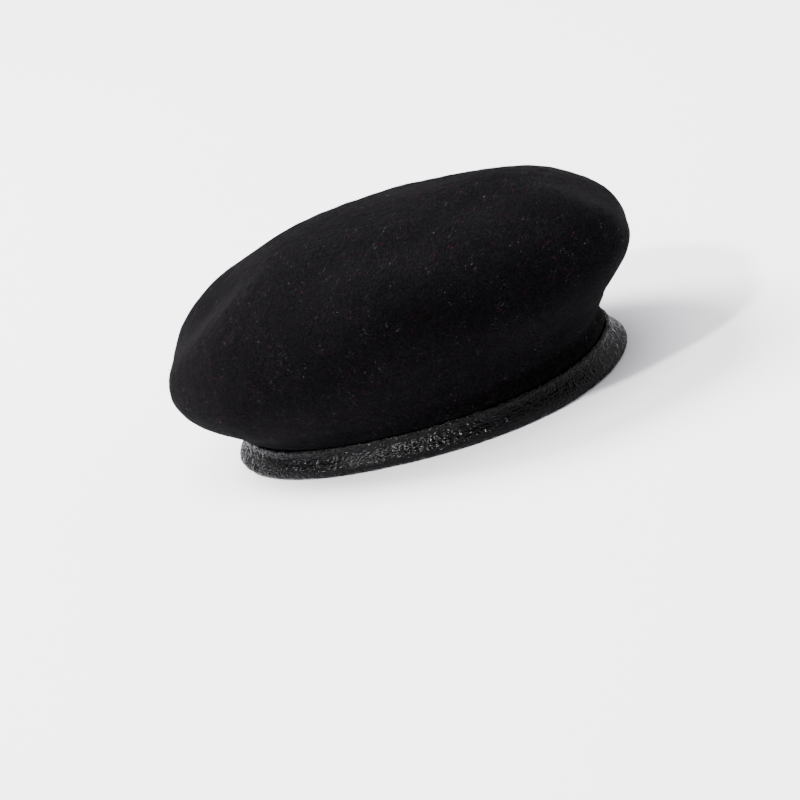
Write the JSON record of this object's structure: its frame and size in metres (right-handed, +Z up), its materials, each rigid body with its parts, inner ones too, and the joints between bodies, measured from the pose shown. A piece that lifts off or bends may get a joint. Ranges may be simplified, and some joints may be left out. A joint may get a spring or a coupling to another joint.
{
  "type": "beret",
  "caption": "Wool felt beret with a narrow turned leather binding, a drawstring inside it, a satin lining and a loose size tab",
  "frame": {"origin": "on the supporting surface under the middle of the hat, where its length and width are halved", "axes": "+Z up through the crown, -Y to the wearer's front, +Y to the back where the size tab hangs, -X to the wearer's right"},
  "size_m": [0.2066, 0.246, 0.0989],
  "materials": {
    "felt": "brushed",
    "leather": "pebble grain",
    "satin": "smooth",
    "cord": "braided",
    "thread": "twisted",
    "buckram": "stiffened open weave",
    "label": "woven"
  },
  "bodies": {
    "beret": {"felt_crown": "felt", "leather_binding": "leather", "slot_bartack_left": "thread", "slot_bartack_right": "thread", "drawstring": "cord", "lining_side": "satin", "lining_top": "satin", "lining_seam_thread": "thread", "lining_label": "label", "label_thread": "thread", "badge_stiffener": "buckram", "binding_seam_thread": "thread", "binding_topstitch_thread": "thread"},
    "size_label_tab": {"size_label": "label"}
  },
  "joints": [
    {"name": "size_label_swing", "type": "hinge", "parent": "beret", "child": "size_label_tab", "pos_m": [0, 0.0834, 0.0132], "axis": [-1, 0, 0], "range_deg": [0, 160]}
  ]
}
